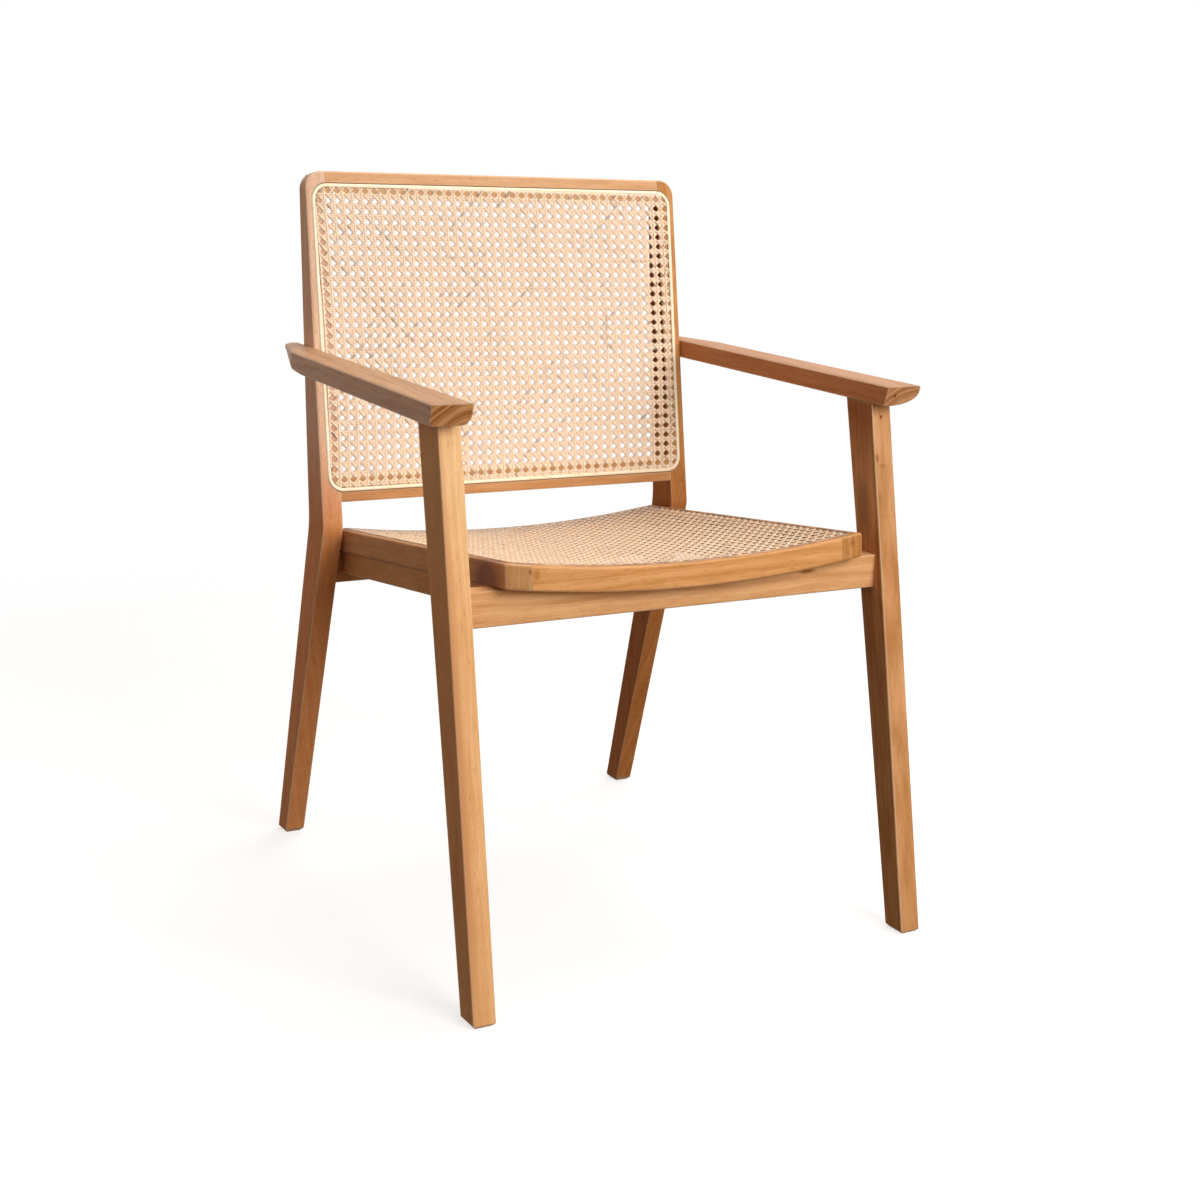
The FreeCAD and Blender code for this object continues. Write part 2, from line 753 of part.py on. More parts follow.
# Pieces across the chair
top_rail = placed(back_rail(back_length - top_rail_height, top_rail_height, True), back_place)
top_rail = drilled(top_rail.cut(groove_in_place), both_sides(top_holes))
lower_rail = placed(back_rail(lower_rail_start, lower_rail_height, False), back_place)
lower_rail = drilled(lower_rail.cut(groove_in_place), both_sides(low_holes))
front_rail = straight_rail(front_rail_y, front_rail_bottom, front_rail_height, leg_half_span, leg_width)
front_rail = drilled(front_rail, both_sides(front_holes + side_front_holes))
rear_rail = straight_rail(rear_rail_y, rear_rail_bottom, rear_rail_height, post_half_span, post_width)
rear_rail = drilled(rear_rail, both_sides(rear_holes + side_rear_holes))
cross_half = seat_half_width - seat_side_width
seat_front = seat_member(-cross_half, cross_half, 0, seat_cross_width).cut(seat_groove)
seat_front = drilled(placed(seat_front, seat_place), both_sides(seat_front_holes))
seat_rear = seat_member(-cross_half, cross_half, seat_length - seat_cross_width, seat_length).cut(seat_groove)
seat_rear = drilled(placed(seat_rear, seat_place), both_sides(seat_rear_holes))

nodes = {
    "right_rear_post": post,
    "left_rear_post": mirrored(post),
    "right_front_leg": leg,
    "left_front_leg": mirrored(leg),
    "right_armrest": right_arm,
    "left_armrest": left_arm,
    "top_rail": top_rail,
    "lower_back_rail": lower_rail,
    "front_seat_rail": front_rail,
    "rear_seat_rail": rear_rail,
    "right_side_rail": side,
    "left_side_rail": mirrored(side),
    "seat_frame_right": seat_side,
    "seat_frame_left": mirrored(seat_side),
    "seat_frame_front": seat_front,
    "seat_frame_rear": seat_rear,
    "back_cane": placed(back_cane, back_place),
    "back_spline": placed(back_spline, back_place),
    "seat_cane": placed(seat_cane, seat_place),
    "seat_spline": placed(seat_spline, seat_place),
    "top_rail_dowels": Part.makeCompound(both_sides(top_dowels)),
    "lower_back_rail_dowels": Part.makeCompound(both_sides(low_dowels)),
    "front_rail_dowels": Part.makeCompound(both_sides(front_dowels)),
    "rear_rail_dowels": Part.makeCompound(both_sides(rear_dowels)),
    "side_rail_dowels": Part.makeCompound(both_sides(side_front_dowels + side_rear_dowels)),
    "seat_frame_dowels": Part.makeCompound(both_sides(seat_front_dowels + seat_rear_dowels)),
    "arm_dowels": Part.makeCompound(both_sides(leg_dowels)),
    "arm_screws": Part.makeCompound(both_sides([body for body, hole in arm_screw_pairs])),
    "seat_screws": Part.makeCompound(both_sides([body for body, hole in seat_screw_pairs])),
}

os.makedirs("parts", exist_ok=True)
for name, shape in nodes.items():
    shape.exportStep("parts/" + name + ".step")
    print(name, len(shape.Solids), "solids", round(shape.Volume), "mm3, valid", shape.isValid())
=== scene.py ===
# %% [markdown]
# # Cane armchair
# The chair is a frame of solid teak with a panel of woven cane in its back
# and another in its dished seat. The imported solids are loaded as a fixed
# frame. The wood keeps its solids and gets its finish here, and the two
# sheets of cane are replaced by real strands, woven over and under.

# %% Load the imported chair
import math
from types import SimpleNamespace

import bmesh
import bpy
from mathutils import Matrix, Vector


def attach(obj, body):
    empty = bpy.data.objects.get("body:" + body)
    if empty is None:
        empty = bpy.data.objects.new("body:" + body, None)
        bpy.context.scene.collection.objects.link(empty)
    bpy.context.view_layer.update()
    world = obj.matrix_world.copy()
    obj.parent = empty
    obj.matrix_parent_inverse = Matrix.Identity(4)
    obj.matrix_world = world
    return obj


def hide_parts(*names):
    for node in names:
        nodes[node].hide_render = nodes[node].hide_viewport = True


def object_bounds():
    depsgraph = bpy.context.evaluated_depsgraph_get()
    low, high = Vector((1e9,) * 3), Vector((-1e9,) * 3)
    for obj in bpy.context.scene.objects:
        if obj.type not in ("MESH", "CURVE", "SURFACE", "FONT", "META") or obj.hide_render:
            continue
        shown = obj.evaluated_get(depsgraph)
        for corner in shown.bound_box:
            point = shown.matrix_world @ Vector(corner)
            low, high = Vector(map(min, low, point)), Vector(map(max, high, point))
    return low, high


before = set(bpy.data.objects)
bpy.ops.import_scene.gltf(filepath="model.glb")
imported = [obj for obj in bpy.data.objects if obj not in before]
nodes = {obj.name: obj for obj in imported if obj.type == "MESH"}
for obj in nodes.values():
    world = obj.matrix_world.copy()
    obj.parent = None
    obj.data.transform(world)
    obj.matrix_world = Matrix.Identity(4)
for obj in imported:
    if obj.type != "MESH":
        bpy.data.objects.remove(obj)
cad_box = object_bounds()
MM = 0.001
sides = [round((high - low) / MM) for low, high in zip(*cad_box)]
print("loaded", len(nodes), "nodes,", sides, "mm")

# %% [markdown]
# ## Camera
# The photograph was taken from the front left of the chair, a little above
# the seat. The camera's place, direction and slight roll were worked out
# from the straight edges of the frame, so they are set as plain numbers, and
# the lens is a focal length in pixels of a picture 1200 pixels wide.

# %% Camera
picture_width = 1200
focal_pixels = 1885.7
sensor_mm = 36
target = Vector((15.2, -17.7, 356.9)) * MM
distance = 2238.3 * MM
azimuth, elevation, roll = (math.radians(angle) for angle in (30.9, 13.7, -2.3))
outward = Vector((
    -math.sin(azimuth) * math.cos(elevation),
    -math.cos(azimuth) * math.cos(elevation),
    math.sin(elevation),
))
level_right = (-outward).cross(Vector((0, 0, 1))).normalized()
level_down = (-outward).cross(level_right)
right = level_right * math.cos(roll) + level_down * math.sin(roll)
up = level_right * math.sin(roll) - level_down * math.cos(roll)
camera = bpy.data.objects.new("photo_camera", bpy.data.cameras.new("photo_camera"))
camera.data.sensor_fit = "HORIZONTAL"
camera.data.sensor_width = sensor_mm
camera.data.lens = focal_pixels / picture_width * sensor_mm
turn = Matrix((right, up, outward)).transposed().to_4x4()
camera.matrix_world = Matrix.Translation(target + outward * distance) @ turn
bpy.context.scene.collection.objects.link(camera)
bpy.context.scene.camera = camera
print("lens", round(camera.data.lens, 2), "mm")

# %% [markdown]
# ## Helpers for materials
# Colours are written as the hex values that a screen shows, and one function
# makes them linear for the shaders. Another adds a node with its settings and
# its links and gives back an output, so that each material below reads as a
# list of steps. A third turns the size of a pattern's cells in millimetres
# into the scale of a Mapping node.


# %% Helpers for materials
def linear(hex_colour):
    """An sRGB hex colour as linear red, green, blue and alpha."""
    shares = [int(hex_colour[i:i + 2], 16) / 255 for i in (1, 3, 5)]
    return tuple(s / 12.92 if s <= 0.04045 else ((s + 0.055) / 1.055) ** 2.4 for s in shares) + (1.0,)


def add(tree, kind, inputs=None, out=None, **settings):
    """A new node whose inputs are values or other outputs. Gives back its named or first output."""
    node = tree.nodes.new("ShaderNode" + kind)
    for name, value in settings.items():
        setattr(node, name, value)
    for name, value in (inputs or {}).items():
        socket = next(s for s in node.inputs if name in (s.identifier, s.name))
        if isinstance(value, bpy.types.NodeSocket):
            tree.links.new(value, socket)
        else:
            socket.default_value = value
    usable = [s for s in node.outputs if s.enabled]
    return next((s for s in usable if out in (None, s.name)), None)


def cells(along, across):
    """The Mapping scale for cells of a length and a width in mm."""
    return 1 / (along * MM), 1 / (across * MM), 1 / (across * MM)


def new_material(name):
    """A material with an empty node tree."""
    material = bpy.data.materials.new(name)
    material.use_nodes = True
    material.node_tree.nodes.clear()
    return material, material.node_tree


print("helpers ready")

# %% [markdown]
# ## Teak
# Teak is a golden brown hardwood. Sanded and oiled, it has a soft, even face:
# growth bands of uneven width, long fine fibres, a slow mottle and a few
# short dark pores. One solid pattern gives all of them, as lines on the sides
# of a board and as arcs on its ends, when the distance from the heart of the
# tree drives a noise in one dimension. Each piece has its own heart and its
# own two tones, because each was cut from a different board, and a few small
# knots and marks are set where the real boards have them. One soft spot is
# painted shade instead, and some faces that look to the left or lie below the
# seat get painted shade as well. The edges are eased by hand and rubbed paler
# by use, and that pale edge is partly a painted highlight too. A sharp edge is
# found by a rounded normal, and an eased one by facets that lean away from the
# sides of the board.


# %% Teak
grain_drift = 18
band_gap = 7
low_shade_from, low_shade_full = 0.56, 0.42
side_shade_fade = 50
edge_width = 2.4
pore_tint, worn_and_lit_tint = "#DCC4AC", "#F7DFC0"


def teak(piece, along, pale, deep, heart, figure=0.3, roughness=0.55, shine=0.06,
         ends="#E6D8BC", end_rings="#DCC9A8", low_tone_and_shade="#FFFFFF", faces=(), wear_and_highlight=0.45, marks_and_shade=()):
    """Oiled teak: grain along a direction, a pale and a deep tone, and the heart's offset in mm."""
    material, tree = new_material("teak_sanded_and_oiled_" + piece)
    spot = add(tree, "TexCoord", out="Object")
    to_grain = Vector(along).rotation_difference(Vector((1, 0, 0))).to_euler()
    board = add(tree, "Mapping", {"Vector": spot, "Rotation": to_grain, "Location": Vector(heart) * MM})

    # The grain drifts sideways by a few millimetres, over lengths of about 200 mm.
    slow = add(tree, "Mapping", {"Vector": board, "Scale": cells(200, 60)})
    drift = add(tree, "TexNoise", {"Vector": slow, "Scale": 1.0, "Detail": 1.0}, out="Color")
    drift = add(tree, "VectorMath", {"Vector": drift, "Vector_001": (0.5, 0.5, 0.5)}, operation="SUBTRACT")
    sideways = (0, grain_drift * MM, grain_drift * MM)
    bent = add(tree, "VectorMath", {"Vector": drift, "Vector_001": sideways, "Vector_002": board},
               operation="MULTIPLY_ADD")

    # Growth bands are about 7 mm apart where a board is cut near the radius.
    outwards = add(tree, "VectorMath", {"Vector": bent, "Vector_001": (0, 1, 1)}, operation="MULTIPLY")
    radius = add(tree, "VectorMath", {"Vector": outwards}, operation="LENGTH")
    bands = add(tree, "TexNoise", {"W": radius, "Scale": 1 / (band_gap * MM), "Detail": 3.0},
                noise_dimensions="1D")

    # Fibres are drawn 1.3 mm wide, coarser than real ones, so that they show.
    long_cells = add(tree, "Mapping", {"Vector": bent, "Scale": cells(55, 1.3)})
    fibres = add(tree, "TexNoise", {"Vector": long_cells, "Scale": 1.0, "Detail": 2.0})
    broad_cells = add(tree, "Mapping", {"Vector": bent, "Scale": cells(60, 13)})
    mottle = add(tree, "TexNoise", {"Vector": broad_cells, "Scale": 1.0, "Detail": 3.0})
    depth = add(tree, "Math", {"Value": bands, "Value_001": 0.35}, operation="MULTIPLY")
    depth = add(tree, "Math", {"Value": fibres, "Value_001": 0.65 - figure, "Value_002": depth},
                operation="MULTIPLY_ADD")
    depth = add(tree, "Math", {"Value": mottle, "Value_001": figure, "Value_002": depth},
                operation="MULTIPLY_ADD")
    depth = add(tree, "MapRange", {"Value": depth, "From Min": 0.36, "From Max": 0.64})
    colour = add(tree, "Mix", {"Factor_Float": depth, "A_Color": linear(pale), "B_Color": linear(deep)},
                 data_type="RGBA")

    # Pores are short strokes, drawn 0.8 mm wide, that darken and pit the face.
    pore_cells = add(tree, "Mapping", {"Vector": board, "Scale": cells(10, 0.8)})
    pores = add(tree, "TexNoise", {"Vector": pore_cells, "Scale": 1.0, "Detail": 1.0})
    pores = add(tree, "MapRange", {"Value": pores, "From Min": 0.64, "From Max": 0.76})
    colour = add(tree, "Mix", {"Factor_Float": pores, "A_Color": colour, "B_Color": linear(pore_tint)},
                 data_type="RGBA", blend_type="MULTIPLY")

    # End grain drinks more oil, so a face that looks along the grain is deeper.
    true_normal = add(tree, "NewGeometry", out="True Normal")
    facing = add(tree, "VectorMath", {"Vector": true_normal, "Vector_001": along}, operation="DOT_PRODUCT")
    facing = add(tree, "Math", {"Value": facing}, operation="ABSOLUTE")
    on_end = add(tree, "MapRange", {"Value": facing, "From Min": 0.6, "From Max": 0.85})
    rings = add(tree, "MapRange", {"Value": bands, "From Min": 0.42, "From Max": 0.6})
    end_tint = add(tree, "Mix", {"Factor_Float": rings, "A_Color": linear(ends),
                                 "B_Color": linear(end_rings)}, data_type="RGBA")
    colour = add(tree, "Mix", {"Factor_Float": on_end, "A_Color": colour, "B_Color": end_tint},
                 data_type="RGBA", blend_type="MULTIPLY")

    # Below the seat the rear posts get a painted shade for the seat's shadow, and
    # the front legs turn a little darker towards the floor. Some faces that look
    # one way are darkened as painted shade from a height up.
    height = add(tree, "SeparateXYZ", {"Vector": spot}, out="Z")
    lower = add(tree, "MapRange", {"Value": height, "From Min": low_shade_from, "From Max": low_shade_full})
    colour = add(tree, "Mix", {"Factor_Float": lower, "A_Color": colour, "B_Color": linear(low_tone_and_shade)},
                 data_type="RGBA", blend_type="MULTIPLY")
    for direction, tint, from_height in faces:
        turned = add(tree, "VectorMath", {"Vector": true_normal, "Vector_001": direction},
                     operation="DOT_PRODUCT")
        turned = add(tree, "MapRange", {"Value": turned, "From Min": 0.7, "From Max": 0.9})
        above = add(tree, "MapRange", {"Value": height, "From Min": (from_height - side_shade_fade) * MM,
                                       "From Max": (from_height + side_shade_fade) * MM})
        share = add(tree, "Math", {"Value": turned, "Value_001": above}, operation="MULTIPLY")
        colour = add(tree, "Mix", {"Factor_Float": share, "A_Color": colour, "B_Color": linear(tint)},
                     data_type="RGBA", blend_type="MULTIPLY")

    # A knot, a mark or a patch of painted shade is a soft spot, longer along the grain than across it.
    for place, length, width, tint in marks_and_shade:
        place = Vector(place) * MM
        away = add(tree, "VectorMath", {"Vector": spot, "Vector_001": place}, operation="SUBTRACT")
        away = add(tree, "Mapping", {"Vector": away, "Rotation": to_grain})
        away = add(tree, "Mapping", {"Vector": away, "Scale": cells(length, width)})
        away = add(tree, "VectorMath", {"Vector": away}, operation="LENGTH")
        near = add(tree, "MapRange", {"Value": away, "From Min": 0.5, "From Max": 0.18})
        colour = add(tree, "Mix", {"Factor_Float": near, "A_Color": colour, "B_Color": linear(tint)},
                     data_type="RGBA")

    # The rounded normal leaves the true one within the edge width, in mm, of a sharp edge.
    rounded = add(tree, "Bevel", {"Radius": edge_width * MM}, samples=6)
    straight = add(tree, "VectorMath", {"Vector": rounded, "Vector_001": true_normal},
                   operation="DOT_PRODUCT")
    sharp = add(tree, "MapRange", {"Value": straight, "From Min": 0.99, "From Max": 0.9})

    # The fourth powers of a unit normal add up to 1 along the board's axes and to 0.5 halfway between two.
    leaning = add(tree, "Mapping", {"Vector": true_normal, "Rotation": to_grain})
    leaning = add(tree, "VectorMath", {"Vector": leaning, "Vector_001": leaning}, operation="MULTIPLY")
    leaning = add(tree, "VectorMath", {"Vector": leaning, "Vector_001": leaning}, operation="DOT_PRODUCT")
    eased = add(tree, "MapRange", {"Value": leaning, "From Min": 0.75, "From Max": 0.6})
    # The pale edge is wear and, in part, a painted highlight where edges catch the light.
    worn_and_lit = add(tree, "Math", {"Value": sharp, "Value_001": eased}, operation="MAXIMUM")
    worn_and_lit = add(tree, "Math", {"Value": worn_and_lit, "Value_001": wear_and_highlight}, operation="MULTIPLY")
    colour = add(tree, "Mix", {"Factor_Float": worn_and_lit, "A_Color": colour, "B_Color": linear(worn_and_lit_tint)},
                 data_type="RGBA")

    rough = add(tree, "MapRange", {"Value": fibres, "From Min": 0.3, "From Max": 0.7,
                                   "To Min": roughness - 0.06, "To Max": roughness + 0.06})
    relief = add(tree, "Math", {"Value": fibres, "Value_001": pores}, operation="SUBTRACT")
    normal = add(tree, "Bump", {"Height": relief, "Strength": 0.2, "Distance": 0.3 * MM, "Normal": rounded})
    face = add(tree, "BsdfPrincipled", {"Base Color": colour, "Roughness": rough, "Normal": normal,
                                        "IOR": 1.5, "Specular IOR Level": shine})
    add(tree, "OutputMaterial", {"Surface": face})
    return material


def finish(node, material):
    """Puts one material on a CAD node."""
    nodes[node].data.materials.clear()
    nodes[node].data.materials.append(material)


print("teak recipe ready")

# %% [markdown]
# The posts, legs and arms run with the grain along their length, and each
# rail across the chair has it from side to side. The left leg is lighter than
# the right one, the rear posts are redder and the right leg is figured. The
# arms were rubbed smoother, so their tops catch the sky.

# %% Boards
leg_rake = math.radians(11.28)
seat_slope = math.radians(6.42)
upright, across, lengthwise = (0, 0, 1), (1, 0, 0), (0, 1, 0)
raked = (0, math.sin(leg_rake), math.cos(leg_rake))
sloped = (0, math.cos(seat_slope), -math.sin(seat_slope))
to_left = (-1, 0, 0)
knot_brown = "#6E4220"
boards = {
    # Below the seat both rear posts are darkened as painted shade for the seat's shadow.
    "left_rear_post": dict(along=upright, pale="#EDCAB0", deep="#D8AB8C", heart=(0, 31, 96),
                           low_tone_and_shade="#EBBE8C"),
    "right_rear_post": dict(along=upright, pale="#D79E66", deep="#B67C45", heart=(350, 52, -88),
                            # Its left face above the seat, seen through the cane, is darkened as painted
                            # shade.
                            low_tone_and_shade="#E0CAB8", faces=[(to_left, "#8A5F40", 540)]),
    "top_rail": dict(along=across, pale="#E4B68C", deep="#CE9B6E", heart=(120, 75, -710)),
    "lower_back_rail": dict(along=across, pale="#D39F6F", deep="#BB8352", heart=(700, 90, -430)),
    "left_front_leg": dict(along=raked, pale="#F8CF9F", deep="#E2B27A", heart=(40, 220, 260),
                           # Its left face is darkened as painted shade.
                           low_tone_and_shade="#F5EADB", faces=[(to_left, "#E6D8CC", 0)], wear_and_highlight=0.25,
                           marks_and_shade=[((-290, -264, 260), 900, 26, "#CF9462")]),
    "right_front_leg": dict(along=raked, pale="#E2B084", deep="#BE8A58", heart=(610, -120, 380), figure=0.5,
                            # Its left face above the seat is darkened as painted shade.
                            low_tone_and_shade="#F4EBDE", faces=[(to_left, "#BEA698", 540)],
                            wear_and_highlight=0.40, marks_and_shade=[((273.2, -197.1, 591.2), 6, 5, knot_brown),
                                              ((264.4, -206.1, 545.6), 12, 7, "#9A6636"),
                                              ((272.0, -208.0, 536.1), 7, 12, "#A87444"),
                                              ((265.7, -215.6, 498.3), 26, 9, "#B07A48"),
                                              ((261.6, -190.0, 490.0), 90, 36, "#A27656")]),
    "left_armrest": dict(along=lengthwise, pale="#D0A581", deep="#B48763", heart=(90, -262, -585),
                         roughness=0.45, shine=0.14, ends="#F0DFBC", end_rings="#BE9C72"),
    "right_armrest": dict(along=lengthwise, pale="#C99975", deep="#AC7A53", heart=(820, 300, -575),
                          # Its left face is made a little darker and redder as painted shade.
                          roughness=0.5, shine=0.18, ends="#FFFCEC", faces=[(to_left, "#FFE4CA", 0)],
                          marks_and_shade=[((273.3, -218.9, 618.3), 8, 6, knot_brown)]),
    "front_seat_rail": dict(along=across, pale="#E5B380", deep="#CC935F", heart=(260, 260, -330),
                            marks_and_shade=[((165.2, -219.3, 423.6), 30, 8, "#A56A38")]),
    "rear_seat_rail": dict(along=across, pale="#D29B63", deep="#B67C46", heart=(480, -120, -290)),
    "left_side_rail": dict(along=sloped, pale="#D49E6B", deep="#B8814F", heart=(30, 300, -310)),
    "right_side_rail": dict(along=sloped, pale="#D49E6B", deep="#B8814F", heart=(540, -310, -320)),
    "seat_frame_front": dict(along=across, pale="#DFA66D", deep="#C3884D", heart=(910, 300, -360), shine=0.02,
                             wear_and_highlight=0.12, marks_and_shade=[((207.0, -237.4, 452.0), 14, 9, "#B5733F"),
                                               ((-193.0, -237.6, 452.6), 12, 16, "#B57E48")]),
    "seat_frame_rear": dict(along=across, pale="#D29B63", deep="#B67C46", heart=(170, -140, -350)),
    "seat_frame_left": dict(along=sloped, pale="#E6B68A", deep="#C59166", heart=(280, 270, -380),
                            shine=0.02, ends="#D4D2C6", wear_and_highlight=0.12,
                            # The large grey spot at the front of its left side is painted shade beside the
                            # front leg.
                            marks_and_shade=[((-233, -196, 442), 90, 80, "#84685E"),
                                   ((-200.0, -237.5, 456.0), 12, 7, "#96683C")]),
    "seat_frame_right": dict(along=sloped, pale="#DDA66C", deep="#C28A52", heart=(640, -260, -400),
                             shine=0.02, ends="#EBEBE4", wear_and_highlight=0.12,
                             marks_and_shade=[((213.7, -237.2, 456.0), 8, 9, "#A8663A")]),
}
for piece, board in boards.items():
    finish(piece, teak(piece, **board))
print("teak on", len(boards), "pieces")

# %% [markdown]
# ## Cane
# Cane is the glossy bark of rattan, split into flat strands. In this open
# mesh each cell holds a pair of upright strands, a pair of cross strands and
# two diagonals. One diagonal goes over the uprights and under the cross
# strands, and the other goes the other way. That locks the mesh and leaves
# eight sided holes. Each panel is laid out flat in millimetres first and then
# moved to its place, because that keeps the sums for the weave simple.

# %% Two panels
back_lean = math.radians(9.56)
back_start = Vector((0, 172.3, 424.5)) * MM
seat_start = Vector((0, -236.0, 466.94)) * MM
back_place = (Matrix.Translation(back_start)
              @ Matrix.Rotation(math.pi / 2 - back_lean, 4, "X"))
seat_place = (Matrix.Translation(seat_start)
              @ Matrix.Rotation(-seat_slope, 4, "X"))
dish_half, dish_sag = 228.5, 16.3
dish_radius = (dish_half ** 2 + dish_sag ** 2) / (2 * dish_sag)


def flat_back(x):
    """The back panel is flat."""
    return 0.0


def dished_seat(x):
    """The height of the seat's dish at a distance from the middle, in mm."""
    return dish_radius - dish_sag - math.sqrt(dish_radius ** 2 - x ** 2)


back_panel = SimpleNamespace(half=244.6, low=47.1, high=402.2, corner=15.5, pitch_x=12.65, pitch_y=12.16,
                             first_row=56.4, slip=-5.0, widening=8.6, bowing=3.9, drop=1.3,
                             thick=0.6, height=flat_back, place=back_place)
seat_panel = SimpleNamespace(half=217.5, low=11.0, high=442.8, corner=7.5, pitch_x=12.7, pitch_y=12.7,
                             first_row=17.0, slip=0.0, widening=0.0, bowing=0.0, drop=0.0,
                             thick=0.4, height=dished_seat, place=seat_place)
for panel in (back_panel, seat_panel):
    print("mesh", round(panel.half * 2), "by", round(panel.high - panel.low), "mm")


# %% [markdown]
# A strand starts and ends where the spline wedges it in its groove, so each
# line is cut to the rounded outline of its panel and its two ends dip. In
# between it keeps level over each crossing and slopes from one to the next.
# The mesh of the back does not look quite even, because a sheet is fitted wet,
# by hand, and the real back may be bowed a little. So its columns lie closer
# together on the left, and its rows drop to the right.


# %% Lines of the strands
pair_half_gap = 1.4
lie = 1.6
groove_dip = -1.0
dip_run = 1.2
shortest = 14.0
overhang = 20.0
trial_steps = 500
upright_flat, diagonal_flat = 1.6, 1.5
columns, half_columns = range(-20, 20), range(-42, 43)
rows, half_rows = range(-2, 36), range(-4, 72)


def inside(panel, spot):
    """Whether a point lies inside the rounded outline of a panel."""
    past_x = max(abs(spot.x) - panel.half + panel.corner, 0)
    past_y = max(panel.low + panel.corner - spot.y, spot.y - panel.high + panel.corner, 0)
    return math.hypot(past_x, past_y) <= panel.corner


def laid(panel, spot):
    """Where a spot of the even mesh lies on its panel, once the sheet is fitted."""
    middle, half_height = (panel.high + panel.low) / 2, (panel.high - panel.low) / 2
    u, v = spot.x / panel.half, (spot.y - middle) / half_height
    return spot + Vector((panel.slip + panel.widening * u ** 2 - panel.bowing * v ** 2, -panel.drop * u))


def strand(panel, start, end, crossings, flat):
    """The points of one strand in metres. Crossings are (distance along it, level in thicknesses)."""
    length = (end - start).length
    way = (end - start) / length
    steps = [length * n / trial_steps for n in range(trial_steps + 1)]
    held = [along for along in steps if inside(panel, laid(panel, start + way * along))]
    if not held or held[-1] - held[0] < shortest:
        return []
    first, last = held[0] + dip_run, held[-1] - dip_run
    profile = []
    for along, level in crossings:
        for edge in sorted({along - flat, along + flat}):
            if first < edge < last:
                profile.append((edge, (lie + level) * panel.thick))
    ends = [(held[0], groove_dip), (first, profile[0][1])]
    ends_there = [(last, profile[-1][1]), (held[-1], groove_dip)]
    points = []
    for along, level in ends + profile + ends_there:
        spot = laid(panel, start + way * along)
        points.append(Vector((spot.x, spot.y, panel.height(spot.x) + level)) * MM)
    return points


def upright_strands(panel):
    """Pairs up the panel: one strand of a pair goes over the cross strands and one goes under."""
    lines = []
    for column in columns:
        for side in (-1, 1):
            x = (column + 0.5) * panel.pitch_x + side * pair_half_gap
            start, end = Vector((x, panel.low - overhang)), Vector((x, panel.high + overhang))
            crossings = [(panel.first_row + half_row * panel.pitch_y / 2 - start.y, side * (half_row % 2))
                         for half_row in half_rows]
            lines.append(strand(panel, start, end, crossings, upright_flat))
    return lines


def cross_strands(panel):
    """Pairs across the panel, which keep level."""
    lines = []
    for row in rows:
        for side in (-1, 1):
            y = panel.first_row + (row + 0.5) * panel.pitch_y + side * pair_half_gap
            start, end = Vector((-panel.half - overhang, y)), Vector((panel.half + overhang, y))
            crossings = [(half_column * panel.pitch_x / 2 - start.x, 0) for half_column in half_columns]
            lines.append(strand(panel, start, end, crossings, 0))
    return lines


def diagonal_strands(panel, rising):
    """Single strands corner to corner, over one set of pairs and under the other. Rising is 1 or -1."""
    reach = 60
    lines = []
    for shift in range(-reach, reach):
        corners = [Vector((u * panel.pitch_x, panel.first_row + rising * (u - shift - 0.5) * panel.pitch_y))
                   for u in (-reach / 2, reach / 2)]
        half_cell = (corners[1] - corners[0]).length / (2 * reach)
        crossings = [(n * half_cell, rising * (1 if n % 2 else -1)) for n in range(2 * reach + 1)]
        lines.append(strand(panel, *corners, crossings, diagonal_flat))
    return lines


print("strand lines ready")


# %% [markdown]
# The section of a strand is drawn once as a small closed curve with a domed
# top, and every line is swept with it. A swept curve is quicker and cleaner
# here than joining vertices by hand. The curve then becomes a plain mesh that
# is moved into its panel.


# %% Sweep
def section(name, outline):
    """A small closed curve, in mm, to sweep along a line."""
    curve = bpy.data.curves.new(name, "CURVE")
    curve.dimensions = "2D"
    ring = curve.splines.new("POLY")
    ring.points.add(len(outline) - 1)
    for point, (x, y) in zip(ring.points, outline):
        point.co = (x * MM, y * MM, 0, 1)
    ring.use_cyclic_u = True
    drawn = bpy.data.objects.new(name, curve)
    bpy.context.scene.collection.objects.link(drawn)
    return drawn


def strand_section(width, thick):
    """A flat strand with a domed top and narrow edges."""
    w, t = width / 2, thick / 2
    crown = 0.42 * w
    outline = [(-w, -0.5 * t), (-crown, t), (crown, t), (w, -0.5 * t), (crown, -t), (-crown, -t)]
    return section("strand_section", outline)


def sweep(name, lines, outline, panel, material, closed=False):
    """A piece from lines of points swept with a section, put in its panel. It rides on the chair."""
    curve = bpy.data.curves.new(name + "_path", "CURVE")
    curve.dimensions = "3D"
    curve.twist_mode = "Z_UP"
    curve.bevel_mode = "OBJECT"
    curve.bevel_object = outline
    curve.use_fill_caps = not closed
    for line in filter(None, lines):
        path = curve.splines.new("POLY")
        path.points.add(len(line) - 1)
        for point, spot in zip(path.points, line):
            point.co = (*spot, 1.0)
        path.use_cyclic_u = closed
    swept = bpy.data.objects.new(name + "_path", curve)
    bpy.context.scene.collection.objects.link(swept)
    bpy.context.view_layer.update()
    mesh = bpy.data.meshes.new_from_object(swept.evaluated_get(bpy.context.evaluated_depsgraph_get()))
    for used in (swept, outline):
        bpy.data.objects.remove(used)
    mesh.name = name
    mesh.transform(panel.place)
    mesh.materials.clear()
    mesh.materials.append(material)
    work = bmesh.new()
    work.from_mesh(mesh)
    bmesh.ops.recalc_face_normals(work, faces=work.faces)
    for face in work.faces:
        face.smooth = closed
    work.to_mesh(mesh)
    work.free()
    piece = bpy.data.objects.new(name, mesh)
    bpy.context.scene.collection.objects.link(piece)
    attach(piece, "root")
    print(name, len(curve.splines), "lines,", len(mesh.polygons), "faces")
    return piece


